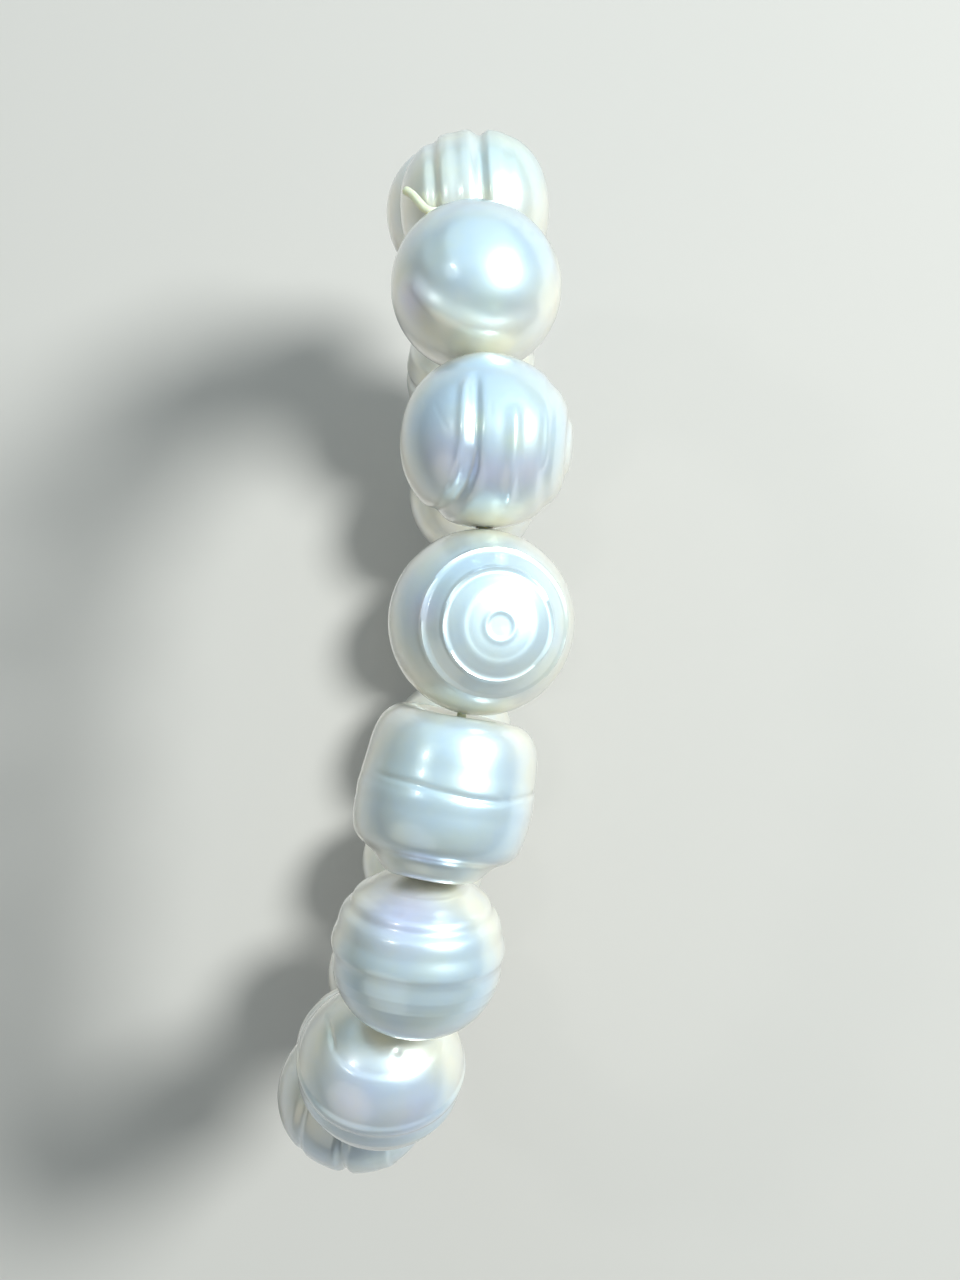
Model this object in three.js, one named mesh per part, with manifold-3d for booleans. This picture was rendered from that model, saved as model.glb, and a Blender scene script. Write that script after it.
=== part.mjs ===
// A bracelet of drilled baroque pearls on one loop of elastic cord, as it sits round a wrist.
// Millimetres. +X runs along the wrist towards the hand, +Z out of the back of the wrist, and
// +Y across it. The origin is the middle of the loop, on the wrist's own axis.
import * as THREE from 'three';
import { mergeVertices } from 'three/addons/utils/BufferGeometryUtils.js';
import Module from 'manifold-3d';

// ---- driving dimensions ----

// The line that the pearls' centres lie on: a squared oval round the wrist. The solver finds its
// half width, so that the pearls close the loop.
const OVAL = {
  flatness: 0.745, // its half height over its half width
  squareness: 2.48, // 2 is an ellipse, and more is squarer
  roll: 7.9, // degrees that it is turned about the wrist
  first: -49.4, // degrees round it from +Z to the first pearl
  slant: 4.2, // how far its +Y side lies ahead along the wrist
  bow: 2.0, // how far it bends out of its plane
  bowTurn: 15, // degrees that the bend is turned by
};
const WIDTH_SEARCH = [26, 42]; // half widths that the solver looks between
const LONGEST_STEP = 1.2; // radians round the oval that no pearl is longer than
const HALVINGS = 48; // enough to find a place to the last digit
const SEAT_GAP = 0.14; // air between two pearls that press together
const KNOT_GAP = 0.4; // more air, where the knot is hidden
const TOUCH_RADIUS = 1.8; // how far from its hole a pearl can touch the next one

const CORD_RADIUS = 0.3;
const CORD_SIDES = 8;
const CORD_BEND = 0.9; // how far before and after a corner the cord starts to bend
const CORNER_STEPS = 3;
const HOLE_RADIUS = 0.55;
const HOLE_SIDES = 10;

const KNOT = { radius: 0.86, waist: 0.7, length: 1.7, sides: 10 };
const KNOT_SEAT = { radius: 1.6, depth: 1.2 }; // the wider mouth that the knot sinks into

// The tail left when the knot was cut, from the knot outwards: side, out and along in millimetres.
const TAIL = [
  { side: 0.0, out: 0.0, along: 0.0 },
  { side: -0.7, out: 1.5, along: -0.25 },
  { side: -1.7, out: 2.5, along: 0.1 },
  { side: -2.7, out: 2.8, along: 0.45 },
  { side: -3.3, out: 2.85, along: 0.15 },
  { side: -3.75, out: 2.9, along: -0.8 },
  { side: -4.15, out: 2.9, along: -1.9 },
  { side: -4.65, out: 2.85, along: -2.8 },
];
const TAIL_STEPS = 14;

const SKIN_SIDES = 18; // flats round a pearl
const SKIN_STEP = 12; // degrees from one row of a pearl to the next
const ROW_GAP = 4; // rows closer than this, in degrees, become one
const WELD = 1e-4; // points closer than this become one

// A ring runs round the pearl at an angle from its growth pole. It stands up by high, or is a
// groove if that is negative, and fades out over before and after degrees.
const ring = (at, high, before, after) => ({ at, high, before, after });

// A lobe swells the skin towards a direction given as side, out and along. With a crest, in degrees
// out from that direction, it is a collar round it.
const lobe = (towards, high, wide, crest = 0) => ({ towards, high, wide, crest });

// Each pearl in order round the loop. girth is its radius round the growth axis and rise its half
// height along it. square is as in OVAL, and taper makes the growth pole's half the fuller one.
// grow is the growth axis as side, out and along, and lean how far the pearl sits to the side.
const PEARLS = [
  { girth: 5.55, rise: 5.6, square: 2.0, taper: 0.0, grow: [0.34, 0.9, 0.21], lean: -0.35,
    rings: [ring(50, -0.16, 12, 10)],
    lobes: [lobe([-0.3, 0.1, -0.95], 0.25, 40), lobe([-0.5, 0.2, 0.8], 0.2, 32)] },
  { girth: 5.45, rise: 5.45, square: 2.15, taper: 0.0, grow: [1.0, 0.05, 0.1], lean: 0.3,
    rings: [ring(96, -0.5, 8, 8), ring(45, -0.2, 8, 6), ring(20, -0.2, 6, 8)], lobes: [] },
  { girth: 5.87, rise: 5.6, square: 2.0, taper: 0.0, grow: [0.22, 0.97, -0.02], lean: 0.95,
    rings: [ring(50, 0.12, 5, 10), ring(34, 0.1, 5, 8), ring(0, -0.3, 1, 40)], lobes: [] },
  { girth: 5.6, rise: 5.0, square: 2.6, taper: 0.0, grow: [0.02, -0.22, -0.98], lean: -0.2,
    rings: [ring(39, 1.1, 22, 34), ring(88, -0.1, 6, 6), ring(142, -0.4, 26, 24)],
    lobes: [lobe([0.0, 0.16, 0.99], 0.48, 12, 28), lobe([-0.7, 0.1, 0.7], 0.5, 26),
      lobe([0.7, 0.1, 0.7], 0.2, 22)] },
  { girth: 5.6, rise: 5.55, square: 2.2, taper: 0.0, grow: [-0.12, -0.18, -0.98], lean: 0.2,
    rings: [ring(72, -0.16, 7, 6), ring(96, -0.14, 5, 8)], lobes: [] },
  { girth: 5.75, rise: 5.4, square: 2.1, taper: 0.0, grow: [-0.14, -0.16, -0.98], lean: 0.27,
    rings: [ring(84, 0.12, 6, 9)], lobes: [] },
  { girth: 5.6, rise: 5.7, square: 2.1, taper: 0.0, grow: [0.88, 0.36, -0.32], lean: 0.0,
    rings: [ring(74, -0.4, 7, 7), ring(110, -0.15, 6, 8)], lobes: [] },
  { girth: 5.45, rise: 5.4, square: 2.2, taper: 0.03, grow: [0.1, 0.15, 0.98], lean: 0.0,
    rings: [ring(60, -0.15, 7, 7), ring(105, -0.2, 7, 7)], lobes: [] },
  { girth: 5.6, rise: 5.5, square: 2.0, taper: 0.0, grow: [0.9, 0.3, 0.3], lean: 0.2,
    rings: [ring(80, -0.3, 7, 7)], lobes: [] },
  { girth: 5.45, rise: 5.3, square: 2.1, taper: 0.0, grow: [0.2, 0.95, 0.2], lean: -0.2,
    rings: [ring(52, 0.1, 5, 9)], lobes: [] },
  { girth: 5.5, rise: 5.5, square: 2.2, taper: -0.03, grow: [-0.1, 0.2, 0.97], lean: 0.1,
    rings: [ring(75, -0.2, 7, 7), ring(120, -0.15, 7, 7)], lobes: [] },
  { girth: 5.4, rise: 5.6, square: 2.1, taper: 0.0, grow: [0.97, 0.2, 0.1], lean: -0.15,
    rings: [ring(62, -0.3, 7, 7), ring(100, -0.25, 7, 7)], lobes: [] },
  { girth: 5.65, rise: 5.4, square: 2.0, taper: 0.0, grow: [0.3, 0.9, -0.3], lean: 0.2,
    rings: [ring(58, -0.15, 8, 8)], lobes: [] },
  { girth: 5.5, rise: 5.4, square: 2.3, taper: 0.03, grow: [0.1, -0.1, 0.99], lean: -0.1,
    rings: [ring(90, -0.2, 7, 7)], lobes: [] },
  { girth: 5.55, rise: 5.5, square: 2.0, taper: 0.0, grow: [0.8, 0.55, 0.2], lean: 0.1,
    rings: [ring(70, -0.2, 7, 7)], lobes: [] },
  { girth: 5.45, rise: 5.5, square: 2.1, taper: 0.0, grow: [0.98, 0.1, 0.1], lean: -0.45,
    rings: [ring(75, -0.25, 6, 6), ring(115, -0.25, 6, 6)], lobes: [] },
  { girth: 5.35, rise: 5.2, square: 2.3, taper: 0.0, grow: [1.0, 0.05, 0.03], lean: 0.35,
    rings: [ring(84, -0.45, 6, 9), ring(120, -0.22, 6, 8)], lobes: [] },
];
const COUNT = PEARLS.length;

const PEARL_FINISH = { color: 0xe9ecea, roughness: 0.22, metalness: 0.0 };
const CORD_FINISH = { color: 0xe6e4c4, roughness: 0.5, metalness: 0.0 };

const wasm = await Module();
wasm.setup();

// ---- solids ----

function toSolid(geometry) {
  const bare = geometry.index ? geometry.toNonIndexed() : geometry.clone();
  for (const name of Object.keys(bare.attributes)) {
    if (name !== 'position') bare.deleteAttribute(name);
  }
  const merged = mergeVertices(bare, WELD);
  return new wasm.Manifold(new wasm.Mesh({
    numProp: 3,
    vertProperties: Float32Array.from(merged.attributes.position.array),
    triVerts: Uint32Array.from(merged.index.array),
  }));
}

function toMesh(name, solid, finish) {
  const { vertProperties, triVerts } = solid.getMesh();
  const geometry = new THREE.BufferGeometry();
  geometry.setAttribute('position', new THREE.BufferAttribute(vertProperties, 3));
  geometry.setIndex(new THREE.BufferAttribute(triVerts, 1));
  geometry.computeVertexNormals();
  const mesh = new THREE.Mesh(geometry, new THREE.MeshStandardMaterial(finish));
  mesh.name = name;
  return mesh;
}

// A rod from a point along a unit direction.
function rod(from, direction, length, radius, sides) {
  const geometry = new THREE.CylinderGeometry(radius, radius, length, sides);
  const middle = from.clone().addScaledVector(direction, length / 2);
  const turn = new THREE.Quaternion().setFromUnitVectors(new THREE.Vector3(0, 1, 0), direction);
  geometry.applyMatrix4(new THREE.Matrix4().compose(middle, turn, new THREE.Vector3(1, 1, 1)));
  return toSolid(geometry);
}

// ---- one pearl, about its own centre in its own side, out and along ----

// Fades from 1 at the ring's crest to 0 at its two edges.
function ringSwell({ at, high, before, after }, polar) {
  const share = polar < at ? (at - polar) / before : (polar - at) / after;
  return share < 1 ? high * (0.5 + 0.5 * Math.cos(Math.PI * share)) : 0;
}

// How far the skin is from the growth centre at an angle from the growth pole.
function reach(pearl, polar) {
  const { girth, rise, square, taper, rings } = pearl;
  const angle = THREE.MathUtils.degToRad(polar);
  const across = Math.abs(Math.sin(angle)) / girth;
  const up = Math.abs(Math.cos(angle)) / rise;
  const round = (across ** square + up ** square) ** (-1 / square);
  const swell = rings.reduce((sum, each) => sum + ringSwell(each, polar), 0);
  return round * (1 + taper * Math.cos(angle)) + swell;
}

// Rows at an even step, with each ring's crest and edges in place of the rows near them.
function skinRows({ rings }) {
  const kept = rings.flatMap(({ at, before, after }) => [at, at - before, at + after]);
  const rows = [0, 180];
  const even = Array.from({ length: 180 / SKIN_STEP - 1 }, (_, i) => (i + 1) * SKIN_STEP);
  for (const row of [...kept, ...even]) {
    if (rows.every((other) => Math.abs(other - row) >= ROW_GAP)) rows.push(row);
  }
  return rows.sort((a, b) => b - a);
}

function skin(pearl) {
  const profile = skinRows(pearl).map((polar) => {
    const angle = THREE.MathUtils.degToRad(polar);
    const far = reach(pearl, polar);
    const onAxis = polar === 0 || polar === 180;
    return new THREE.Vector2(onAxis ? 0 : far * Math.sin(angle), far * Math.cos(angle));
  });
  const geometry = new THREE.LatheGeometry(profile, SKIN_SIDES);
  const grow = new THREE.Vector3(...pearl.grow).normalize();
  const turn = new THREE.Quaternion().setFromUnitVectors(new THREE.Vector3(0, 1, 0), grow);
  geometry.applyQuaternion(turn);
  swellLobes(geometry, pearl.lobes);
  return geometry;
}

function swellLobes(geometry, lobes) {
  const place = geometry.attributes.position;
  const point = new THREE.Vector3();
  for (let i = 0; i < place.count; i += 1) {
    point.fromBufferAttribute(place, i);
    const facing = point.clone().normalize();
    for (const { towards, high, wide, crest } of lobes) {
      const apart = THREE.MathUtils.radToDeg(facing.angleTo(new THREE.Vector3(...towards)));
      const share = (apart - crest) / wide;
      point.addScaledVector(facing, high * Math.exp(-share * share));
    }
    place.setXYZ(i, point.x, point.y, point.z);
  }
}

// Centres a skin on the cord, by the two ends that its neighbours touch, and returns its length
// from one to the other.
function centreOnCord(geometry) {
  const place = geometry.attributes.position;
  let start = Infinity;
  let end = -Infinity;
  for (let i = 0; i < place.count; i += 1) {
    if (Math.hypot(place.getX(i), place.getY(i)) < TOUCH_RADIUS) {
      start = Math.min(start, place.getZ(i));
      end = Math.max(end, place.getZ(i));
    }
  }
  geometry.computeBoundingBox();
  const middle = geometry.boundingBox.getCenter(new THREE.Vector3());
  geometry.translate(-middle.x, -middle.y, -(start + end) / 2);
  return end - start;
}

// ---- the loop ----

function ovalPoint(turn, halfWidth) {
  const bend = (value) => Math.sign(value) * Math.abs(value) ** (2 / OVAL.squareness);
  const across = -halfWidth * bend(Math.sin(turn));
  const up = halfWidth * OVAL.flatness * bend(Math.cos(turn));
  const roll = THREE.MathUtils.degToRad(OVAL.roll);
  const bowTurn = THREE.MathUtils.degToRad(OVAL.bowTurn);
  return new THREE.Vector3(
    -OVAL.slant * Math.sin(turn) + OVAL.bow * Math.cos(2 * turn + bowTurn),
    Math.cos(roll) * across - Math.sin(roll) * up,
    Math.sin(roll) * across + Math.cos(roll) * up,
  );
}

// Finds by halving where a rising test turns true.
function halve([low, high], isPast) {
  let span = [low, high];
  for (let i = 0; i < HALVINGS; i += 1) {
    const middle = (span[0] + span[1]) / 2;
    span = isPast(middle) ? [span[0], middle] : [middle, span[1]];
  }
  return span[0];
}

// Where a pearl sits when the strand has turned so far.
function seatPoint(turn, halfWidth, pearl) {
  const point = ovalPoint(turn, halfWidth);
  point.x += pearl.lean;
  return point;
}

// Steps round the oval from pearl to pearl, and returns the centres and the turn that it took.
function walk(halfWidth, lengths) {
  let turn = THREE.MathUtils.degToRad(OVAL.first);
  const centres = [];
  PEARLS.forEach((pearl, i) => {
    const here = seatPoint(turn, halfWidth, pearl);
    centres.push(here);
    const next = (i + 1) % COUNT;
    const gap = next === 0 ? SEAT_GAP + KNOT_GAP : SEAT_GAP;
    const step = (lengths[i] + lengths[next]) / 2 + gap;
    const isPast = (t) => seatPoint(t, halfWidth, PEARLS[next]).distanceTo(here) > step;
    turn = halve([turn, turn + LONGEST_STEP], isPast);
  });
  return { centres, end: turn };
}

// Each pearl's hole runs from where it touches one neighbour to where it touches the other, so it
// passes a little inside the pearl's centre. hole is its middle.
function seats(lengths) {
  const whole = THREE.MathUtils.degToRad(OVAL.first) + 2 * Math.PI;
  const halfWidth = halve(WIDTH_SEARCH, (width) => walk(width, lengths).end < whole);
  const { centres } = walk(halfWidth, lengths);
  return centres.map((centre, i) => {
    const before = centres[(i + COUNT - 1) % COUNT];
    const after = centres[(i + 1) % COUNT];
    const along = after.clone().sub(before).normalize();
    const side = new THREE.Vector3(1, 0, 0).addScaledVector(along, -along.x).normalize();
    const out = new THREE.Vector3().crossVectors(along, side);
    const hole = before.clone().add(after).addScaledVector(centre, 2).divideScalar(4);
    return { centre, hole, side, out, along, length: lengths[i] };
  });
}

// ---- the pieces ----

// knotSide is 'before' or 'after' for a pearl with the knot on that side of it.
function makePearl(geometry, seat, knotSide) {
  const { centre, hole, side, out, along, length } = seat;
  geometry.applyMatrix4(new THREE.Matrix4().makeBasis(side, out, along).setPosition(centre));
  const start = hole.clone().addScaledVector(along, -length);
  const bore = rod(start, along, 2 * length, HOLE_RADIUS, HOLE_SIDES);
  let solid = toSolid(geometry).subtract(bore);
  if (knotSide) {
    const away = knotSide === 'after' ? along : along.clone().negate();
    const floor = hole.clone().addScaledVector(away, length / 2 - KNOT_SEAT.depth);
    solid = solid.subtract(rod(floor, away, length, KNOT_SEAT.radius, HOLE_SIDES));
  }
  return solid;
}

// Where two neighbours touch and their holes meet.
function corner(seat, next) {
  return seat.centre.clone().lerp(next.centre, 0.5);
}

// A curve that stops at each of its own points, however far apart they are.
class Route extends THREE.Curve {
  constructor(points) {
    super();
    this.points = points;
    this.steps = points.length - 1;
  }

  getPoint(t) {
    const place = Math.min(t, 1) * this.steps;
    const i = Math.min(Math.floor(place), this.steps - 1);
    return this.points[i].clone().lerp(this.points[i + 1], place - i);
  }

  getPointAt(t) {
    return this.getPoint(t);
  }

  getTangentAt(t) {
    const place = Math.round(t * this.steps);
    const before = this.points[Math.max(place - 1, 0)];
    const after = this.points[Math.min(place + 1, this.steps)];
    return after.clone().sub(before).normalize();
  }
}

function tube(points) {
  const section = new THREE.Shape(Array.from({ length: CORD_SIDES }, (_, i) => {
    const angle = (2 * Math.PI * i) / CORD_SIDES;
    return new THREE.Vector2(CORD_RADIUS * Math.cos(angle), CORD_RADIUS * Math.sin(angle));
  }));
  const extrudePath = new Route(points);
  const options = { steps: extrudePath.steps, extrudePath, bevelEnabled: false };
  return toSolid(new THREE.ExtrudeGeometry(section, options));
}

// Runs from the knot through every pearl and back into the knot, and rounds each corner.
function loopPoints(placed, corners) {
  const knot = corners[COUNT - 1];
  const first = placed[0].along;
  const last = placed[COUNT - 1].along;
  const points = [knot.clone().addScaledVector(first, CORD_RADIUS)];
  for (let i = 0; i < COUNT - 1; i += 1) {
    const { hole, along } = placed[i];
    points.push(hole.clone());
    const enter = corners[i].clone().addScaledVector(along, -CORD_BEND);
    const leave = corners[i].clone().addScaledVector(placed[i + 1].along, CORD_BEND);
    points.push(...new THREE.QuadraticBezierCurve3(enter, corners[i], leave).getPoints(CORNER_STEPS));
  }
  points.push(placed[COUNT - 1].hole.clone());
  points.push(knot.clone().addScaledVector(last, -CORD_RADIUS));
  return points;
}

// Two turns of cord drawn tight, as a short barrel with a waist.
function makeKnot(centre, along) {
  const { radius, waist, length, sides } = KNOT;
  const half = length / 2;
  const profile = [
    new THREE.Vector2(0, -half),
    new THREE.Vector2(waist, -half),
    new THREE.Vector2(radius, -half / 2),
    new THREE.Vector2(waist, 0),
    new THREE.Vector2(radius, half / 2),
    new THREE.Vector2(waist, half),
    new THREE.Vector2(0, half),
  ];
  const geometry = new THREE.LatheGeometry(profile, sides);
  const turn = new THREE.Quaternion().setFromUnitVectors(new THREE.Vector3(0, 1, 0), along);
  geometry.applyMatrix4(new THREE.Matrix4().compose(centre, turn, new THREE.Vector3(1, 1, 1)));
  return toSolid(geometry);
}

function makeCord(placed) {
  const corners = placed.map((seat, i) => corner(seat, placed[(i + 1) % COUNT]));
  const knot = corners[COUNT - 1];
  const last = placed[COUNT - 1];
  const along = last.along.clone().add(placed[0].along).normalize();
  const side = new THREE.Vector3(1, 0, 0).addScaledVector(along, -along.x).normalize();
  const out = new THREE.Vector3().crossVectors(along, side);
  const tailPoints = TAIL.map((step) => knot.clone()
    .addScaledVector(side, step.side)
    .addScaledVector(out, step.out)
    .addScaledVector(along, step.along));
  const tail = new THREE.CatmullRomCurve3(tailPoints).getPoints(TAIL_STEPS);
  return tube(loopPoints(placed, corners)).add(makeKnot(knot, along)).add(tube(tail));
}

// ---- the bracelet ----

const bracelet = new THREE.Group();
const skins = PEARLS.map(skin);
const placed = seats(skins.map(centreOnCord));
const knotSides = { 0: 'before', [COUNT - 1]: 'after' };
placed.forEach((seat, i) => {
  const name = `pearl_${String(i + 1).padStart(2, '0')}`;
  bracelet.add(toMesh(name, makePearl(skins[i], seat, knotSides[i]), PEARL_FINISH));
});
bracelet.add(toMesh('elastic_cord', makeCord(placed), CORD_FINISH));

export default bracelet;
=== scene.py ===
# %% [markdown]
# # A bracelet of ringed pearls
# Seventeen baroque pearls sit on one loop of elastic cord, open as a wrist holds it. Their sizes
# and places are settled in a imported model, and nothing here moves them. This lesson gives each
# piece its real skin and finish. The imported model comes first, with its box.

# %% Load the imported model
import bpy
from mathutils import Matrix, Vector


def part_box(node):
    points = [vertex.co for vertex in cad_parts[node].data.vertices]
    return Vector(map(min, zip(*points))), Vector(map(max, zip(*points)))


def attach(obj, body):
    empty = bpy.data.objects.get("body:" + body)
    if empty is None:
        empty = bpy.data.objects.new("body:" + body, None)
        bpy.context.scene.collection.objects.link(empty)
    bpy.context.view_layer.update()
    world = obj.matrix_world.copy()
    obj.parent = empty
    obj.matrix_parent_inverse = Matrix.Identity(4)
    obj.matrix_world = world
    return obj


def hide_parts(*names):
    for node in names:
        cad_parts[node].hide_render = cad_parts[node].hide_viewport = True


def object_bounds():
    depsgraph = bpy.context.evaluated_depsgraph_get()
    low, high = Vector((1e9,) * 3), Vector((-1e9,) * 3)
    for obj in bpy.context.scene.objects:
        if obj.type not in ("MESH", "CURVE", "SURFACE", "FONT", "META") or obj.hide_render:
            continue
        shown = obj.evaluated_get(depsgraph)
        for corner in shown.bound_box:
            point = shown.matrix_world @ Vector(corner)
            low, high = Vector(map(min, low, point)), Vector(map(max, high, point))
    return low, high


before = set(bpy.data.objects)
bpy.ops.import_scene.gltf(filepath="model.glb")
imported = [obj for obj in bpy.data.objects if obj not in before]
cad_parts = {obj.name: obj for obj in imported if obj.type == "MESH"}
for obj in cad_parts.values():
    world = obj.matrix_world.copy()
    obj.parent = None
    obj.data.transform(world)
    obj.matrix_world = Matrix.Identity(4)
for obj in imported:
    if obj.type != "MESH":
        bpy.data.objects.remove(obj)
packed_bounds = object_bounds()


def in_mm(corners):
    return [tuple(round(1000 * v, 1) for v in corner) for corner in corners]


print("packed model:", in_mm(packed_bounds), "mm")

# %% [markdown]
# ## Where the eye stands
# The bracelet is seen as its wearer sees it: from above the back of the wrist, close enough for
# the nearest pearls to look clearly bigger than the ones that curve away. A long lens from far off
# would flatten that, so the camera is put at its true distance and the lens follows from it.

# %% The camera
import bpy
import numpy as np

MM = 0.001
scene = bpy.context.scene
EYE = (3.3, 0.8, 139.9)  # over the strand's nearest pearl, in millimetres from the wrist's middle
LENS = 51.4

lens = bpy.data.cameras.new("camera")
lens.lens = LENS
lens.sensor_width = 36.0
lens.clip_start = 0.005
camera = bpy.data.objects.new("camera", lens)
camera.location = [MM * v for v in EYE]
scene.collection.objects.link(camera)
scene.camera = camera
print("the eye is", EYE[2], "mm over the middle of the wrist")

# %% [markdown]
# ## The strand
# Each pearl has its own axes: side points along the wrist, along points down the cord to the next
# pearl, and out points away from the wrist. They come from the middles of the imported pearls, by the
# same rule that drilled those, so the holes made here line up with the cord. Typing seventeen
# places in by hand would work too, but would be wrong as soon as one pearl changed.

# %% Seats on the strand
from collections import namedtuple

Seat = namedtuple("Seat", "name centre hole side out along")


def unit(vector):
    return np.asarray(vector, float) / np.linalg.norm(vector)


def crosswise(along):
    """The side and out directions at a place where the strand runs along."""
    side = unit(np.array([1.0, 0.0, 0.0]) - along * along[0])
    return side, np.cross(along, side)


def take_seats(names):
    centres = [np.array(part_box(name)).mean(axis=0) / MM for name in names]
    seats = []
    for i, name in enumerate(names):
        before = centres[i - 1]
        after = centres[(i + 1) % len(names)]
        along = unit(after - before)
        side, out = crosswise(along)
        hole = (before + 2.0 * centres[i] + after) / 4.0
        seats.append(Seat(name, centres[i], hole, side, out, along))
    return seats


pearl_names = sorted(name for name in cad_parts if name.startswith("pearl_"))
seats = take_seats(pearl_names)
strand = sum(np.linalg.norm(a.centre - b.centre) for a, b in zip(seats, seats[1:] + seats[:1]))
print(len(seats), "pearls on a strand of", round(strand, 1), "mm")

# %% [markdown]
# ## How a pearl is described
# A ringed pearl grows round one axis, like a pot on a wheel, but with flaws. So each one is a
# distance from its growth centre for every direction: a squarish or round profile first, and then
# marks added on top. A ring runs all the way round at one angle from the growth pole. A lobe is a
# swelling, a pit if it is negative, or a collar if its crest lies some degrees out. A stroke
# follows a path over the skin: a scratch, a crack or a raised rib. Sculpting by hand would give
# the same forms, but not the same result twice.

# %% The marks a pearl can carry
Ring = namedtuple("Ring", "at high before after")  # degrees, mm, and degrees to fade over
Lobe = namedtuple("Lobe", "towards high wide crest", defaults=[0.0])  # direction, mm and degrees
Stroke = namedtuple("Stroke", "path high wide")  # a list of directions; mm; degrees
# Most blushes are tints of the nacre; the smoky one on pearl 07 is painted shade.
Blush = namedtuple("Blush", "towards hue wide strength")  # a tint and the degrees it spreads over


def ring_swell(ring, polar):
    """1 at the crest, fading to 0 at the two edges."""
    before = (ring.at - polar) / ring.before
    after = (polar - ring.at) / ring.after
    share = np.clip(np.where(polar < ring.at, before, after), 0.0, 1.0)
    return ring.high * (0.5 + 0.5 * np.cos(np.pi * share))


def lobe_swell(lobe, facing):
    apart = np.degrees(np.arccos(np.clip(facing @ unit(lobe.towards), -1.0, 1.0)))
    return lobe.high * np.exp(-(((apart - lobe.crest) / lobe.wide) ** 2))


def stroke_swell(stroke, facing):
    """A soft ridge or groove along a path, deepest in its middle and fading at its ends."""
    path = [unit(point) for point in stroke.path]
    reach = len(path) - 1
    best = np.full(len(facing), 1e9)
    place = np.zeros(len(facing))
    for i, (start, end) in enumerate(zip(path, path[1:])):
        step = end - start
        share = np.clip((facing - start) @ step / (step @ step), 0.0, 1.0)
        nearest = start + share[:, None] * step
        nearest /= np.linalg.norm(nearest, axis=1)[:, None]
        apart = np.linalg.norm(facing - nearest, axis=1)
        closer = apart < best
        best = np.where(closer, apart, best)
        place = np.where(closer, (i + share) / reach, place)
    fade = np.sin(0.5 * np.pi * np.clip(4.0 * np.minimum(place, 1.0 - place), 0.0, 1.0))
    return stroke.high * fade * np.exp(-((np.degrees(best) / stroke.wide) ** 2))


print("a 1 mm ring, half faded:", ring_swell(Ring(90, 1.0, 10, 10), np.array([95.0]))[0], "mm")

# %% [markdown]
# ## The seventeen pearls
# No two are alike. The ones on the back of the wrist carry the marks that can be seen on them: one
# smooth with a soft crease, one cracked and ribbed, one like a snail's shell seen from its tip,
# one like a small barrel, two ringed like bells. The ones under the wrist are ringed in the
# same way with their own few marks. A table says this best, with one entry for each pearl.

# %% The pearls in order round the strand
Pearl = namedtuple("Pearl", "girth rise square taper grow rings lobes strokes blushes")

LILAC = (0.80, 0.74, 0.95)
CREAM = (0.93, 0.90, 0.76)
GREEN = (0.80, 0.90, 0.80)
SMOKE = (0.60, 0.62, 0.68)


def pearl(girth, rise, square, grow, taper=0.0, rings=(), lobes=(), strokes=(), blushes=()):
    rings = [Ring(*each) for each in rings]
    lobes = [Lobe(*each) for each in lobes]
    strokes = [Stroke(*each) for each in strokes]
    blushes = [Blush(*each) for each in blushes]
    return Pearl(girth, rise, square, taper, grow, rings, lobes, strokes, blushes)


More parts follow.
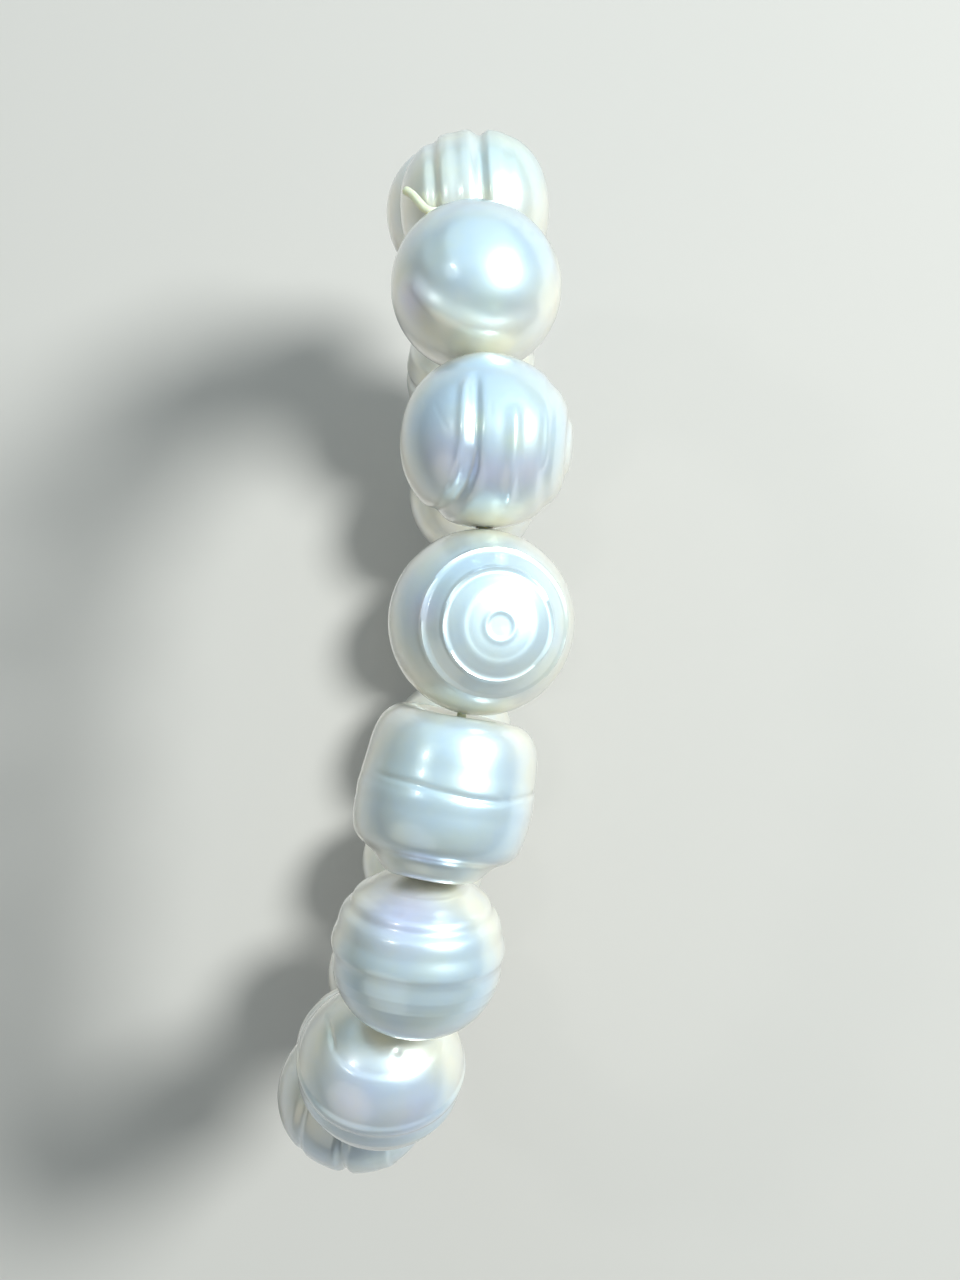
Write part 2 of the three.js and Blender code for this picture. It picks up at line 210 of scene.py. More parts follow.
PEARLS = [
    pearl(5.55, 5.6, 2.0, [0.34, 0.9, 0.21],
          rings=[(50, -0.05, 12, 10)],
          lobes=[([-0.3, 0.1, -0.95], 0.25, 40), ([-0.5, 0.15, 0.8], 0.22, 30),
                 ([0.55, 0.0, 0.85], 0.12, 26), ([0.0, 0.15, 0.95], 0.10, 22),
                 ([-0.29, 0.76, 0.58], -0.02, 4)],
          strokes=[([[-0.85, 0.5, 0.1], [-0.65, 0.60, 0.46], [-0.46, 0.57, 0.69],
                     [-0.27, 0.50, 0.82], [0.14, 0.40, 0.90], [0.40, 0.38, 0.84],
                     [0.67, 0.34, 0.66]], -0.15, 8.0),
                   ([[-0.86, 0.4, 0.3], [-0.72, 0.47, 0.51], [-0.53, 0.43, 0.73],
                     [-0.12, 0.30, 0.95], [0.10, 0.24, 0.97], [0.40, 0.20, 0.89]], 0.16, 8.0)],
          blushes=[([-0.76, 0.38, 0.53], LILAC, 14, 0.8), ([-0.9, 0.3, 0.0], CREAM, 40, 0.6),
                   ([0.1, 0.55, 0.83], GREEN, 16, 0.6)]),
    pearl(5.45, 5.45, 2.15, [1.0, 0.05, 0.1],
          rings=[(45, -0.10, 8, 8), (20, -0.12, 6, 8)],
          lobes=[([0.0, 0.4, -0.92], 0.16, 20)],
          strokes=[([[-0.12, 0.80, -0.60], [-0.12, 0.93, -0.35], [-0.12, 0.99, -0.05],
                     [-0.14, 0.93, 0.34], [-0.19, 0.81, 0.55], [-0.28, 0.63, 0.73],
                     [-0.41, 0.38, 0.83]], -0.26, 3.6),
                   ([[-0.14, 0.93, 0.34], [-0.19, 0.81, 0.55], [-0.28, 0.63, 0.73],
                     [-0.41, 0.38, 0.83], [-0.51, 0.12, 0.85], [-0.60, -0.2, 0.77],
                     [-0.6, -0.6, 0.5]], -0.34, 6.0),
                   ([[-0.20, 0.82, -0.50], [-0.23, 0.89, -0.38], [-0.26, 0.96, -0.06],
                     [-0.27, 0.93, 0.24], [-0.32, 0.82, 0.48], [-0.41, 0.59, 0.69]], 0.12, 3.2),
                   ([[-0.32, 0.82, 0.48], [-0.39, 0.68, 0.62], [-0.46, 0.53, 0.72]], -0.05, 1.2),
                   ([[0.30, 0.93, -0.15], [0.30, 0.95, 0.01], [0.29, 0.92, 0.27],
                     [0.26, 0.81, 0.52], [0.23, 0.60, 0.77], [0.21, 0.4, 0.9]], 0.22, 4.2),
                   ([[0.64, 0.69, -0.32], [0.66, 0.74, 0.15], [0.59, 0.58, 0.56]], 0.09, 3.0),
                   ([[-0.58, 0.79, -0.23], [-0.41, 0.90, 0.16]], -0.02, 0.8),
                   ([[0.05, 0.98, -0.19], [0.05, 1.0, 0.0]], -0.02, 0.8)],
          blushes=[([-0.45, 0.8, 0.4], LILAC, 20, 0.5), ([0.05, 0.8, 0.6], LILAC, 14, 0.5),
                   ([0.45, 0.7, 0.55], LILAC, 14, 0.5), ([-0.12, 0.99, 0.1], GREEN, 7, 0.8),
                   ([0.29, 0.92, 0.27], GREEN, 6, 0.6)]),
    pearl(5.87, 5.6, 2.0, [0.22, 0.97, -0.02],
          rings=[(0, -0.45, 1, 38), (51, 0.09, 1.8, 2.2), (51.5, 0.08, 3, 14), (36, 0.11, 2.0, 2.6),
                 (36.5, 0.07, 3, 10), (24, 0.04, 3, 6), (9.5, 0.05, 2, 4)],
          blushes=[([-0.62, 0.78, -0.05], LILAC, 12, 0.5), ([-0.5, 0.25, 0.8], CREAM, 46, 0.85),
                   ([0.5, 0.25, 0.8], CREAM, 36, 0.7)]),
    pearl(5.6, 5.0, 2.6, [0.02, -0.22, -0.98],
          rings=[(39, 1.05, 22, 34), (90, 0.05, 6, 9), (142, -0.35, 26, 24), (66, 0.04, 12, 12)],
          lobes=[([0.60, 0.72, -0.34], -0.06, 2.5), ([-0.7, 0.1, 0.7], 0.5, 26),
                 ([0.7, 0.1, 0.7], 0.2, 22), ([0.0, 0.16, 0.99], 0.48, 11, 28),
                 ([0.0, 0.16, 0.99], -0.18, 8, 46)],
          strokes=[([[-0.85, 0.45, -0.28], [-0.70, 0.65, -0.31], [-0.13, 0.93, -0.34],
                     [0.24, 0.92, -0.31], [0.56, 0.78, -0.29], [0.89, 0.37, -0.28],
                     [1.0, 0.0, -0.25], [0.8, -0.5, -0.2]], -0.11, 2.0)],
          blushes=[([0.0, 0.5, 0.85], CREAM, 22, 0.55), ([-0.85, 0.35, 0.4], CREAM, 34, 0.5)]),
    pearl(5.6, 5.55, 2.2, [-0.12, -0.18, -0.98],
          rings=[(49, 0.10, 8, 5), (55, -0.04, 3, 3), (62, 0.11, 6, 12), (84, 0.12, 14, 5),
                 (92, -0.05, 4, 9), (101, 0.02, 1.5, 3), (110, 0.02, 1.5, 3), (31, 0.04, 2, 5)],
          blushes=[([-0.3, 0.5, -0.8], LILAC, 24, 0.65), ([0.1, 0.6, 0.8], CREAM, 32, 0.45)]),
    pearl(5.75, 5.4, 2.1, [-0.14, -0.16, -0.98],
          rings=[(84, 0.12, 4, 10), (93, -0.07, 5, 10), (47, 0.07, 5, 15), (104, 0.03, 2, 5)],
          lobes=[([0.02, 0.3, -0.96], -0.07, 3.0)],
          strokes=[([[-0.78, -0.32, -0.53], [-0.74, -0.05, -0.66], [-0.68, 0.24, -0.69]],
                    -0.12, 1.4)],
          blushes=[([-0.4, 0.75, -0.5], LILAC, 22, 0.5), ([0.3, 0.8, -0.5], LILAC, 22, 0.4),
                   ([0.0, 0.9, 0.4], SMOKE, 28, 0.6)]),
    pearl(5.6, 5.7, 2.1, [0.88, 0.36, -0.32],
          rings=[(74, -0.4, 7, 7), (110, -0.15, 6, 8), (40, 0.08, 3, 8)],
          # painted shade: the smoky blush darkens the side of pearl 07 tucked behind pearl 06
          blushes=[([-0.3, 0.7, -0.6], SMOKE, 60, 0.3)]),
    pearl(5.45, 5.4, 2.2, [0.1, 0.15, 0.98], taper=0.03,
          rings=[(60, -0.15, 7, 7), (105, -0.2, 7, 7), (82, 0.07, 2.5, 8)]),
    pearl(5.6, 5.5, 2.0, [0.9, 0.3, 0.3], rings=[(80, -0.3, 7, 7), (48, 0.07, 3, 8)]),
    pearl(5.45, 5.3, 2.1, [0.2, 0.95, 0.2],
          rings=[(52, 0.1, 5, 9), (33, 0.08, 3, 8), (18, 0.05, 3, 6)]),
    pearl(5.5, 5.5, 2.2, [-0.1, 0.2, 0.97], taper=-0.03,
          rings=[(75, -0.2, 7, 7), (120, -0.15, 7, 7), (96, 0.08, 2.5, 8)]),
    pearl(5.4, 5.6, 2.1, [0.97, 0.2, 0.1], rings=[(62, -0.3, 7, 7), (100, -0.25, 7, 7)]),
    pearl(5.65, 5.4, 2.0, [0.3, 0.9, -0.3], rings=[(58, -0.15, 8, 8), (40, 0.08, 3, 8)]),
    pearl(5.5, 5.4, 2.3, [0.1, -0.1, 0.99], taper=0.03, rings=[(90, -0.2, 7, 7), (66, 0.08, 3, 8)]),
    pearl(5.55, 5.5, 2.0, [0.8, 0.55, 0.2], rings=[(70, -0.2, 7, 7)]),
    pearl(5.45, 5.5, 2.1, [0.98, 0.1, 0.1], rings=[(75, -0.25, 6, 6), (115, -0.25, 6, 6)]),
    pearl(5.35, 5.2, 2.3, [1.0, 0.05, 0.03],
          rings=[(84, -0.40, 7, 10), (103, -0.08, 7, 7), (120, -0.22, 7, 9), (62, -0.04, 8, 8)],
          blushes=[([-0.5, 0.7, 0.5], CREAM, 40, 0.8), ([0.4, 0.8, 0.3], GREEN, 40, 0.5)]),
]
print(sum(len(each.rings) for each in PEARLS), "rings described")

# %% [markdown]
# ## Turning a description into a skin
# The skin is a grid of rows and columns round the growth axis, closed at the two poles, which is
# the form that a ring follows exactly. A subdivided cube would have no poles, but would cut across
# the rings. Rings on a real pearl are never quite level or quite even, so a few slow waves tilt and
# thin them, seeded by the pearl's place so that they come out the same each time.

# %% The skin of one pearl
NEAR_GRID = (150, 176)  # rows and columns on the pearls over the wrist
FAR_GRID = (96, 112)  # and on those under it
WAVES = 3
RING_TILT = 1.0  # degrees that a ring wanders up and down
RING_THINNING = 0.18  # share of its height that it gains and loses


def growth_axes(grow):
    """Two directions across the growth axis and the axis itself, in side, out and along."""
    axis = unit(grow)
    helper = np.array([1.0, 0.0, 0.0]) if abs(axis[0]) < 0.8 else np.array([0.0, 1.0, 0.0])
    across = unit(np.cross(helper, axis))
    return np.array([across, np.cross(axis, across), axis])


def slow_waves(chance, turn, strength):
    """A gentle wander round the pearl."""
    wander = np.zeros_like(turn)
    for wave in range(1, WAVES + 1):
        height = chance.normal(0.0, strength / wave)
        wander += height * np.sin(wave * turn + chance.uniform(0, 2 * np.pi))
    return wander


def profile(pearl, polar):
    angle = np.radians(polar)
    across = np.abs(np.sin(angle)) / pearl.girth
    up = np.abs(np.cos(angle)) / pearl.rise
    rounded = (across ** pearl.square + up ** pearl.square) ** (-1.0 / pearl.square)
    return rounded * (1.0 + pearl.taper * np.cos(angle))


def skin_grid(rows, columns):
    """Polar angles and turns of every point: first pole, rows of points, last pole."""
    polar = np.repeat(np.linspace(0.0, 180.0, rows + 1)[1:-1], columns)
    turn = np.tile(np.arange(columns) * 2.0 * np.pi / columns, rows - 1)
    return np.concatenate([[0.0], polar, [180.0]]), np.concatenate([[0.0], turn, [0.0]])


def skin_faces(rows, columns):
    quads = []
    for row in range(rows - 2):
        for column in range(columns):
            a = 1 + row * columns + column
            b = 1 + row * columns + (column + 1) % columns
            quads.append((a, a + columns, b + columns, b))
    last = 1 + (rows - 1) * columns
    top = [(0, 1 + column, 1 + (column + 1) % columns) for column in range(columns)]
    start = last - columns
    bottom = [(last, start + (column + 1) % columns, start + column) for column in range(columns)]
    return top + quads + bottom


def skin_points(pearl, chance, polar, turn):
    """Points in side, out and along round the growth centre, in millimetres."""
    angle = np.radians(polar)
    off_pole = np.sin(angle)
    spread = np.column_stack([off_pole * np.cos(turn), off_pole * np.sin(turn), np.cos(angle)])
    facing = spread @ growth_axes(pearl.grow)
    tilted = polar + off_pole * slow_waves(chance, turn, RING_TILT)
    depth = 1.0 + off_pole * slow_waves(chance, turn, RING_THINNING)
    far = profile(pearl, polar)
    for ring in pearl.rings:
        far = far + depth * ring_swell(ring, tilted)
    for lobe in pearl.lobes:
        far = far + lobe_swell(lobe, facing)
    for stroke in pearl.strokes:
        far = far + stroke_swell(stroke, facing)
    return facing * far[:, None]


for name, (rows, columns) in (("near", NEAR_GRID), ("far", FAR_GRID)):
    print("a", name, "pearl has", len(skin_faces(rows, columns)), "patches of skin")

# %% [markdown]
# ## Drilling
# The cord runs straight through each pearl, so each has a hole from end to end. The two pearls at
# the knot have a wider mouth on that side, which the knot sinks into. A boolean cut is the
# plain way to drill a mesh: the drill is a closed rod, longer than the pearl.

# %% A drill, and the cut that it makes
HOLE_RADIUS = 0.55
MOUTH_RADIUS = 1.6
MOUTH_DEPTH = 1.2
DRILL_SIDES = 32


def mesh_of(name, points, faces):
    mesh = bpy.data.meshes.new(name)
    mesh.from_pydata([tuple(point) for point in points], [], faces)
    mesh.update()
    return mesh


def rod_points(start, end, radius):
    along = unit(end - start)
    side, out = crosswise(along)
    turn = np.arange(DRILL_SIDES) * 2.0 * np.pi / DRILL_SIDES
    rim = radius * (np.outer(np.cos(turn), side) + np.outer(np.sin(turn), out))
    return np.vstack([start + rim, end + rim])


def rod_faces():
    around = range(DRILL_SIDES)
    walls = []
    for i in around:
        j = (i + 1) % DRILL_SIDES
        walls.append((i, j, j + DRILL_SIDES, i + DRILL_SIDES))
    return walls + [tuple(reversed(around)), tuple(i + DRILL_SIDES for i in around)]


def drill(piece, start, end, radius):
    bit_mesh = mesh_of("drill", rod_points(start, end, radius) * MM, rod_faces())
    bit = bpy.data.objects.new("drill", bit_mesh)
    scene.collection.objects.link(bit)
    cut = piece.modifiers.new("drill", "BOOLEAN")
    cut.operation = "DIFFERENCE"
    cut.object = bit
    cut.solver = "MANIFOLD"
    bpy.context.view_layer.objects.active = piece
    bpy.ops.object.modifier_apply(modifier=cut.name)
    bpy.data.objects.remove(bit)
    bpy.data.meshes.remove(bit_mesh)


print("holes", 2 * HOLE_RADIUS, "mm wide, and", 2 * MOUTH_RADIUS, "mm at the knot")

# %% [markdown]
# ## What the finish needs to know
# Colour follows growth: it changes from ring to ring and from side to side. So each point of a
# finished skin keeps two notes, which the material reads: where it lies round the growth axis, and
# the colour of that patch of skin: its overtone, with painted sky reflection on the side that faces
# out and painted warm reflection on the cream flanks. Painting an image would do it too, but notes
# on the mesh stay sharp at any size.

# %% Notes kept on each point
# The cooler outer tone is painted sky reflection on the side that faces out; the cream flank tone is
# the nacre's cream and also painted warm reflection at the rims.
OUTER_SKY_REFLECTION_TONE = (0.68, 0.79, 0.84)
FLANK_CREAM_AND_WARM_REFLECTION = (0.88, 0.86, 0.77)
FLANK_ENDS = 0.15  # how far a point faces out where the cream starts to give way
SKY_REFLECTION_FULL = 0.75  # and where the cooler tone is full


def overtones_and_painted_reflection(pearl, facing):
    """The colour at each point: cream flanks that are also a painted warm rim reflection, a painted
    sky reflection on the outer side, then the blushes.
    """
    outer = np.clip((facing[:, 1] - FLANK_ENDS) / (SKY_REFLECTION_FULL - FLANK_ENDS), 0.0, 1.0)
    outer = (outer * outer * (3.0 - 2.0 * outer))[:, None]
    colour = np.array(FLANK_CREAM_AND_WARM_REFLECTION) * (1.0 - outer) + np.array(OUTER_SKY_REFLECTION_TONE) * outer
    for blush in pearl.blushes:
        apart = np.degrees(np.arccos(np.clip(facing @ unit(blush.towards), -1.0, 1.0)))
        share = (blush.strength * np.exp(-((apart / blush.wide) ** 2)))[:, None]
        colour = colour * (1.0 - share) + np.array(blush.hue) * share
    return np.column_stack([colour, np.ones(len(facing))])


def note_growth(mesh, pearl, seat, middle):
    points = np.empty(len(mesh.vertices) * 3, np.float32)
    mesh.vertices.foreach_get("co", points)
    local = (points.reshape(-1, 3) / MM - middle) @ np.array([seat.side, seat.out, seat.along]).T
    facing = local / np.maximum(np.linalg.norm(local, axis=1), 1e-6)[:, None]
    grown = local @ growth_axes(pearl.grow).T
    note = mesh.attributes.new("grown", "FLOAT_VECTOR", "POINT")
    note.data.foreach_set("vector", grown.astype(np.float32).ravel())
    tone = mesh.attributes.new("overtone_and_painted_reflection", "FLOAT_COLOR", "POINT")
    tone.data.foreach_set("color", overtones_and_painted_reflection(pearl, facing).astype(np.float32).ravel())


straight_out = np.array([[0.0, 1.0, 0.0]])
print("tone on the barrel's outer side:", overtones_and_painted_reflection(PEARLS[3], straight_out)[0, :3].round(2))

# %% [markdown]
# ## Nacre
# Nacre is thin clear plates over a pale body. It is glossy but never mirror-sharp, light sinks in a
# little way and comes out soft, and the plates tint reflections faintly pink and green. The
# Principled shader has a part for each: subsurface for the glow, a coat for the polish, and a thin
# film for the orient. Only colour and roughness vary over the skin, so only those are linked.

# %% The nacre material
FILM_NM = 380.0


def link(tree, source, target):
    tree.links.new(source, target)


def make_nacre():
    material = bpy.data.materials.new("nacre")
    material.use_nodes = True
    tree = material.node_tree
    shader = tree.nodes["Principled BSDF"]
    shader.inputs["IOR"].default_value = 1.6
    shader.inputs["Metallic"].default_value = 0.5
    shader.inputs["Subsurface Weight"].default_value = 0.25
    shader.inputs["Subsurface Radius"].default_value = (1.0, 0.85, 0.75)
    shader.inputs["Subsurface Scale"].default_value = 0.0012
    shader.inputs["Coat Weight"].default_value = 1.0
    shader.inputs["Coat Roughness"].default_value = 0.08
    shader.inputs["Coat IOR"].default_value = 1.5
    shader.inputs["Thin Film Thickness"].default_value = FILM_NM
    shader.inputs["Thin Film IOR"].default_value = 1.45

    # The colour note read here holds the painted sky and warm reflections as well as the overtone.
    tone = tree.nodes.new("ShaderNodeAttribute")
    tone.attribute_name = "overtone_and_painted_reflection"
    grown = tree.nodes.new("ShaderNodeAttribute")
    grown.attribute_name = "grown"

    cloud = tree.nodes.new("ShaderNodeTexNoise")
    cloud.inputs["Scale"].default_value = 0.35
    cloud.inputs["Detail"].default_value = 3.0
    link(tree, grown.outputs["Vector"], cloud.inputs["Vector"])
    warm = tree.nodes.new("ShaderNodeMix")
    warm.data_type = "RGBA"
    warm.blend_type = "MULTIPLY"
    warm.inputs["Factor"].default_value = 1.0
    ramp = tree.nodes.new("ShaderNodeValToRGB")
    ramp.color_ramp.elements[0].position = 0.35
    ramp.color_ramp.elements[0].color = (0.93, 0.95, 1.0, 1.0)
    ramp.color_ramp.elements[1].position = 0.65
    ramp.color_ramp.elements[1].color = (1.0, 0.98, 0.92, 1.0)
    link(tree, cloud.outputs["Fac"], ramp.inputs["Fac"])
    link(tree, tone.outputs["Color"], warm.inputs["A"])
    link(tree, ramp.outputs["Color"], warm.inputs["B"])
    link(tree, warm.outputs["Result"], shader.inputs["Base Color"])

    stretch = tree.nodes.new("ShaderNodeMapping")
    stretch.inputs["Scale"].default_value = (0.3, 0.3, 3.0)
    link(tree, grown.outputs["Vector"], stretch.inputs["Vector"])
    lines = tree.nodes.new("ShaderNodeTexNoise")
    lines.inputs["Scale"].default_value = 1.0
    lines.inputs["Detail"].default_value = 5.0
    link(tree, stretch.outputs["Vector"], lines.inputs["Vector"])

    gloss = tree.nodes.new("ShaderNodeMapRange")
    gloss.inputs["To Min"].default_value = 0.28
    gloss.inputs["To Max"].default_value = 0.36
    link(tree, lines.outputs["Fac"], gloss.inputs["Value"])
    link(tree, gloss.outputs["Result"], shader.inputs["Roughness"])
    return material


nacre = make_nacre()
print("nacre has", len(nacre.node_tree.nodes), "nodes and a", FILM_NM, "nm film")

# %% [markdown]
# ## Making the pearls
# Each pearl goes the same way: its skin is worked out, set down so that its box has the packed
# pearl's middle, drilled, noted and given its nacre. The pearls that show most get the finer grid.
# Edges sharper than the drill's rim stay sharp, and the rest is shaded smooth. One loop makes them
# all, so a change to the way of making reaches every pearl.

# %% Make every pearl
SHARP_EDGE = np.radians(40.0)
NEAR_PEARLS = {1, 2, 3, 4, 5, 6, 7, 16, 17}


def make_pearl(number, pearl, seat):
    rows, columns = NEAR_GRID if number in NEAR_PEARLS else FAR_GRID
    chance = np.random.default_rng(number)
    polar, turn = skin_grid(rows, columns)
    local = skin_points(pearl, chance, polar, turn)
    placed = local @ np.array([seat.side, seat.out, seat.along])
    middle = seat.centre - (placed.min(axis=0) + placed.max(axis=0)) / 2.0
    mesh = mesh_of(f"pearl_skin_{number:02d}", (placed + middle) * MM, skin_faces(rows, columns))
    piece = bpy.data.objects.new(f"pearl_skin_{number:02d}", mesh)
    scene.collection.objects.link(piece)
    reach = seat.along * 2.0 * pearl.girth
    drill(piece, seat.hole - reach, seat.hole + reach, HOLE_RADIUS)
    for knot_side, knot_number in ((-1.0, 1), (1.0, len(PEARLS))):
        if number == knot_number:
            away = knot_side * seat.along
            half = np.ptp(placed @ seat.along) / 2.0
            floor_of_mouth = seat.hole + away * (half - MOUTH_DEPTH)
            drill(piece, floor_of_mouth, seat.hole + 2.0 * away * half, MOUTH_RADIUS)
    piece.data.set_sharp_from_angle(angle=SHARP_EDGE)
    piece.data.shade_smooth()
    note_growth(piece.data, pearl, seat, middle)
    piece.data.materials.clear()
    piece.data.materials.append(nacre)
    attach(piece, "root")
    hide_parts(seat.name)
    return piece


pearl_pieces = [make_pearl(i + 1, PEARLS[i], seat) for i, seat in enumerate(seats)]
print(sum(len(piece.data.polygons) for piece in pearl_pieces), "faces on the pearls")

# %% [markdown]
# ## The cord
# One elastic cord runs through every hole and is knotted between the first and the last pearl. The
# knot sinks into their mouths and only its cut tail shows, lying over the pearl next to it. A curve
# with a round section is the easy way to make it, but the knot and the tail have to be one piece
# with it, so each is swept as a mesh along its own route.

# %% The cord's route
CORD_RADIUS = 0.3
CORD_BEND = 0.9
TAIL = [(0.0, 0.0, 0.0), (-0.7, 1.5, -0.25), (-1.7, 2.5, 0.1), (-2.7, 2.8, 0.45),
        (-3.3, 2.85, 0.15), (-3.75, 2.9, -0.8), (-4.15, 2.9, -1.9),
        (-4.65, 2.85, -2.8)]  # side, out and along from the knot
CORD_SIDES = 16
BEND_STEPS = 7
TAIL_STEPS = 6

corners = [(seat.centre + after.centre) / 2.0 for seat, after in zip(seats, seats[1:] + seats[:1])]
knot_place = corners[-1]
knot_along = unit(seats[-1].along + seats[0].along)
knot_side, knot_out = crosswise(knot_along)


def loop_route():
    points = [knot_place + seats[0].along * CORD_RADIUS]
    for seat, corner, after in zip(seats, corners, seats[1:]):
        points.append(seat.hole)
        enter = corner - seat.along * CORD_BEND
        leave = corner + after.along * CORD_BEND
        for t in np.linspace(0.0, 1.0, BEND_STEPS):
            points.append(enter * (1 - t) ** 2 + 2 * corner * t * (1 - t) + leave * t ** 2)
    points.append(seats[-1].hole)
    points.append(knot_place - seats[-1].along * CORD_RADIUS)
    return np.array(points)


def smooth_route(points, steps):
    """A curve through every point, each stretch bending as its neighbours ask."""
    points = [np.asarray(point, float) for point in points]
    ends = [2 * points[0] - points[1]] + points + [2 * points[-1] - points[-2]]
    route = []
    for before, start, end, after in zip(ends, ends[1:], ends[2:], ends[3:]):
        for t in np.arange(steps) / steps:
            route.append(0.5 * (2 * start + (end - before) * t
                                + (2 * before - 5 * start + 4 * end - after) * t ** 2
                                + (3 * start - before - 3 * end + after) * t ** 3))
    return np.array(route + [points[-1]])


tail_points = [knot_place + knot_side * side + knot_out * out + knot_along * along
               for side, out, along in TAIL]
tail_route = smooth_route(tail_points, TAIL_STEPS)
tail_steps = np.linalg.norm(np.diff(tail_route, axis=0), axis=1)
print("tail of", round(float(tail_steps.sum()), 1), "mm")

# %% [markdown]
# ## Sweeping a cord
# A sweep carries a round section along a route and turns it as little as it can on the way, so the
# surface doesn't twist. The knot is swept too, as a short fat cord that is waisted in the middle,
# because it is hidden and a real overhand knot would only add faces. The three tubes become one
# mesh.

# %% Sweep the cord, the knot and the tail
def sweep(route, radii, sides=CORD_SIDES):
    """A closed tube along a route, with one radius for each point."""
    tangents = np.gradient(route, axis=0)
    rings = []
    side = crosswise(unit(tangents[0]))[0]
    for point, tangent, radius in zip(route, tangents, radii):
        along = unit(tangent)
        side = unit(side - along * (side @ along))
        out = np.cross(along, side)
        turn = np.arange(sides) * 2.0 * np.pi / sides
        rings.append(point + radius * (np.outer(np.cos(turn), side) + np.outer(np.sin(turn), out)))
    points = np.vstack(rings + [route[:1], route[-1:]])
    faces = []
    for i in range(len(route) - 1):
        for j in range(sides):
            k = (j + 1) % sides
            faces.append((i * sides + j, i * sides + k, (i + 1) * sides + k, (i + 1) * sides + j))
    first, last, end = len(points) - 2, len(points) - 1, (len(route) - 1) * sides
    faces += [(first, (j + 1) % sides, j) for j in range(sides)]
    faces += [(last, end + j, end + (j + 1) % sides) for j in range(sides)]
    return points, faces


def join_parts(parts):
    points, faces, start = [], [], 0
    for part_points, part_faces in parts:
        points.append(part_points)
        faces += [tuple(index + start for index in face) for face in part_faces]
        start += len(part_points)
    return np.vstack(points), faces


CUT_END = 0.64  # share of the cord's radius left at its softened cut end


def blunt(route, radius):
    """Radii for a cord that is cut at its far end."""
    radii = np.full(len(route), radius)
    radii[-1] = radius * CUT_END
    return radii


KNOT_HALF = [(0.12, 0.78), (0.43, 0.86), (0.72, 0.72), (0.85, 0.5)]  # place along it and radius
KNOT_WAIST = (0.0, 0.7)
KNOT_OTHER_HALF = [(-place, radius) for place, radius in reversed(KNOT_HALF)]
KNOT_PROFILE = KNOT_OTHER_HALF + [KNOT_WAIST] + KNOT_HALF

knot_route = np.array([knot_place + knot_along * place for place, _ in KNOT_PROFILE])
loop_points = loop_route()
cord_points, cord_faces = join_parts([
    sweep(loop_points, np.full(len(loop_points), CORD_RADIUS)),
    sweep(knot_route, np.array([radius for _, radius in KNOT_PROFILE])),
    sweep(tail_route, blunt(tail_route, CORD_RADIUS)),
])
cord = bpy.data.objects.new("cord", mesh_of("cord", cord_points * MM, cord_faces))
scene.collection.objects.link(cord)
cord.data.shade_smooth()
print(len(cord_faces), "faces on the cord")

# %% [markdown]
# ## Elastic
# The cord is pale stretch plastic, yellowed a little, that light passes into. A plain colour with
# some subsurface would nearly do. A fine noise adds the slight flecks that the strands inside it
# give, at a scale that only shows close up.

# %% The cord's finish
def make_elastic():
    material = bpy.data.materials.new("elastic")
    material.use_nodes = True
    tree = material.node_tree
    shader = tree.nodes["Principled BSDF"]
    shader.inputs["Roughness"].default_value = 0.38
    shader.inputs["Subsurface Weight"].default_value = 0.4
    shader.inputs["Subsurface Radius"].default_value = (1.0, 0.9, 0.5)
    shader.inputs["Subsurface Scale"].default_value = 0.0006
    place = tree.nodes.new("ShaderNodeTexCoord")
    fleck = tree.nodes.new("ShaderNodeTexNoise")
    fleck.inputs["Scale"].default_value = 900.0
    link(tree, place.outputs["Object"], fleck.inputs["Vector"])
    ramp = tree.nodes.new("ShaderNodeValToRGB")
    ramp.color_ramp.elements[0].color = (0.70, 0.72, 0.46, 1.0)
    ramp.color_ramp.elements[1].color = (0.88, 0.88, 0.68, 1.0)
    link(tree, fleck.outputs["Fac"], ramp.inputs["Fac"])
    link(tree, ramp.outputs["Color"], shader.inputs["Base Color"])
    return material


cord.data.materials.append(make_elastic())
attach(cord, "root")
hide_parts("elastic_cord")
print("the cord's finish:", cord.data.materials[0].name)

# %% [markdown]
# ## Light
# Pearls show the room more than themselves, so each light is there for a mark that it leaves. A
# big soft lamp on the upper right burns the round highlight into every pearl, a small one on
# the left leaves the second spark, cool daylight comes from beyond the far side of the wrist, and
# warm light comes back off the near side.

# %% Lamps
from mathutils import Matrix


def softbox(name, towards, distance, size, power, colour):
    lamp = bpy.data.lights.new(name, "AREA")
    lamp.shape = "DISK"
    lamp.size = size
    lamp.energy = power
    lamp.color = colour
    holder = bpy.data.objects.new(name, lamp)
    away = unit(towards)
    holder.location = away * distance
    side, out = crosswise(away)
    turn = Matrix([[side[i], out[i], away[i]] for i in range(3)]).to_4x4()
    holder.matrix_world = Matrix.Translation(away * distance) @ turn
    holder.visible_camera = False
    scene.collection.objects.link(holder)
    return holder


softbox("key", (0.58, 0.28, 0.76), 0.50, 0.15, 3.2, (0.88, 0.97, 1.0))
softbox("spark", (-0.52, 0.27, 0.81), 0.50, 0.05, 0.11, (0.92, 0.97, 1.0))
softbox("daylight", (0.05, 0.80, 0.60), 0.60, 1.00, 1.1, (0.60, 0.82, 1.0))
softbox("bounce", (-0.55, -0.65, 0.45), 0.60, 0.60, 0.35, (1.0, 0.93, 0.80))

# %% [markdown]
# ## The room
# Between the lamps, pearls reflect the room, so it can't be one flat tone. A ramp from the side of
# the daylight to the far side is enough. A studio panorama would be finer, but it would be an image
# to carry about, and pearls blur it anyway.

# %% The room's tones
ROOM_TONES = [(0.0, (0.34, 0.31, 0.27)), (0.42, (0.42, 0.40, 0.36)), (0.62, (0.50, 0.58, 0.60)),
              (0.85, (0.62, 0.80, 0.90)), (1.0, (0.70, 0.88, 0.98))]
DAYLIGHT_FROM = (0.10, 0.72, 0.68)


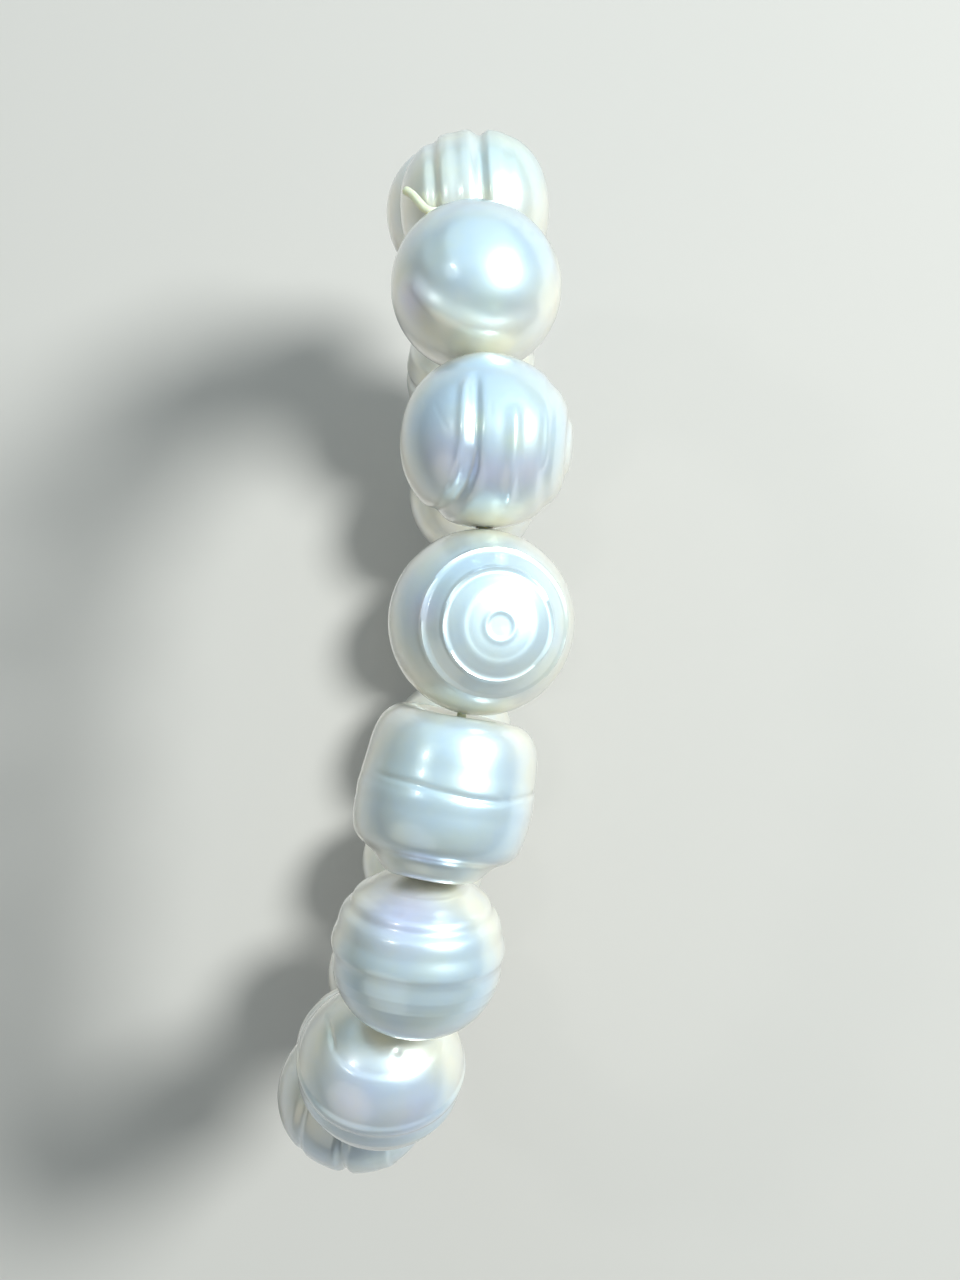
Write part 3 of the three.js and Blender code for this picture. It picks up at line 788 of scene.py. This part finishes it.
def make_room(strength):
    """A world that is cool and bright on the daylight's side and warm and dim on the other."""
    room = bpy.data.worlds.new("room")
    room.use_nodes = True
    tree = room.node_tree
    where = tree.nodes.new("ShaderNodeTexCoord")
    facing = tree.nodes.new("ShaderNodeVectorMath")
    facing.operation = "DOT_PRODUCT"
    facing.inputs[1].default_value = unit(DAYLIGHT_FROM)
    share = tree.nodes.new("ShaderNodeMapRange")
    share.inputs["From Min"].default_value = -1.0
    tones = tree.nodes.new("ShaderNodeValToRGB")
    ramp = tones.color_ramp
    while len(ramp.elements) < len(ROOM_TONES):
        ramp.elements.new(0.5)
    for element, (place, colour) in zip(ramp.elements, ROOM_TONES):
        element.position = place
        element.color = (*colour, 1.0)
    link(tree, where.outputs["Generated"], facing.inputs[0])
    link(tree, facing.outputs["Value"], share.inputs["Value"])
    link(tree, share.outputs["Result"], tones.inputs["Fac"])
    link(tree, tones.outputs["Color"], tree.nodes["Background"].inputs["Color"])
    tree.nodes["Background"].inputs["Strength"].default_value = strength
    return room


ROOM_STRENGTH = 0.45

scene.world = make_room(ROOM_STRENGTH)
scene.view_settings.view_transform = "Standard"
print("the room has", len(ROOM_TONES), "tones")

# %% [markdown]
# ## The floor
# A plain pale table stands under the bracelet, a hair below its lowest pearl. It isn't part of the
# object.

# %% The table
TABLE_HALF = 3.0
TABLE_GAP = 0.0005
table_height = packed_bounds[0][2] - TABLE_GAP
table_corners = [(TABLE_HALF * x, TABLE_HALF * y, table_height)
                 for x, y in ((-1, -1), (1, -1), (1, 1), (-1, 1))]
table = bpy.data.objects.new("table", mesh_of("table", table_corners, [(0, 1, 2, 3)]))
scene.collection.objects.link(table)

paper = bpy.data.materials.new("paper")
paper.use_nodes = True
paper_shader = paper.node_tree.nodes["Principled BSDF"]
paper_shader.inputs["Base Color"].default_value = (0.58, 0.53, 0.48, 1.0)
paper_shader.inputs["Roughness"].default_value = 0.8
table.data.materials.append(paper)
print("the table is", round(-1000 * table_height, 1), "mm under the wrist's middle")
